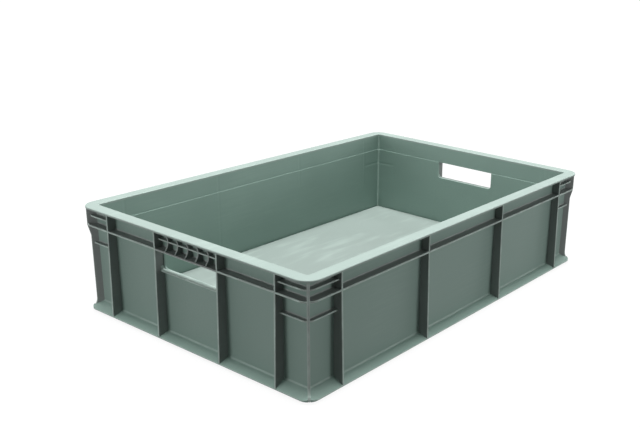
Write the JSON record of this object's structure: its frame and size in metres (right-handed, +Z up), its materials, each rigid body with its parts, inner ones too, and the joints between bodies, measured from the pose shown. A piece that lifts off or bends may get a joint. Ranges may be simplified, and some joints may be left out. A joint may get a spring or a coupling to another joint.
{
  "type": "stacking plastic crate",
  "caption": "Open rectangular stacking crate of moulded plastic, with a flat rim, ribbed walls, a hand hole in each short side and a foot that nests in the rim below.",
  "frame": {"origin": "middle of the base, on the ground plane under the stacking foot", "axes": "+Z up, +X along the long side, +Y along the short side; front is the long side at -Y"},
  "size_m": [0.6, 0.4, 0.145],
  "materials": {
    "crate_plastic": "moulded polypropylene, green-grey, satin"
  },
  "bodies": {
    "root": {"floor_panel": "crate_plastic", "front_wall": "crate_plastic", "rear_wall": "crate_plastic", "left_wall": "crate_plastic", "right_wall": "crate_plastic", "front_rim": "crate_plastic", "rear_rim": "crate_plastic", "left_rim": "crate_plastic", "right_rim": "crate_plastic", "front_ledge": "crate_plastic", "rear_ledge": "crate_plastic", "left_ledge": "crate_plastic", "right_ledge": "crate_plastic", "front_skirt": "crate_plastic", "rear_skirt": "crate_plastic", "left_skirt": "crate_plastic", "right_skirt": "crate_plastic", "front_foot": "crate_plastic", "rear_foot": "crate_plastic", "left_foot": "crate_plastic", "right_foot": "crate_plastic", "front_rib_1": "crate_plastic", "front_rib_2": "crate_plastic", "front_rib_3": "crate_plastic", "front_rib_4": "crate_plastic", "rear_rib_1": "crate_plastic", "rear_rib_2": "crate_plastic", "rear_rib_3": "crate_plastic", "rear_rib_4": "crate_plastic", "left_rib_1": "crate_plastic", "left_rib_2": "crate_plastic", "left_rib_3": "crate_plastic", "left_rib_4": "crate_plastic", "right_rib_1": "crate_plastic", "right_rib_2": "crate_plastic", "right_rib_3": "crate_plastic", "right_rib_4": "crate_plastic", "front_left_corner": "crate_plastic", "front_right_corner": "crate_plastic", "rear_left_corner": "crate_plastic", "rear_right_corner": "crate_plastic", "left_grip": "crate_plastic", "right_grip": "crate_plastic", "base_cross_rib_1": "crate_plastic", "base_cross_rib_2": "crate_plastic", "base_cross_rib_3": "crate_plastic", "base_cross_rib_4": "crate_plastic", "base_cross_rib_5": "crate_plastic", "base_long_rib_1": "crate_plastic", "base_long_rib_2": "crate_plastic", "base_long_rib_3": "crate_plastic"}
  },
  "joints": []
}
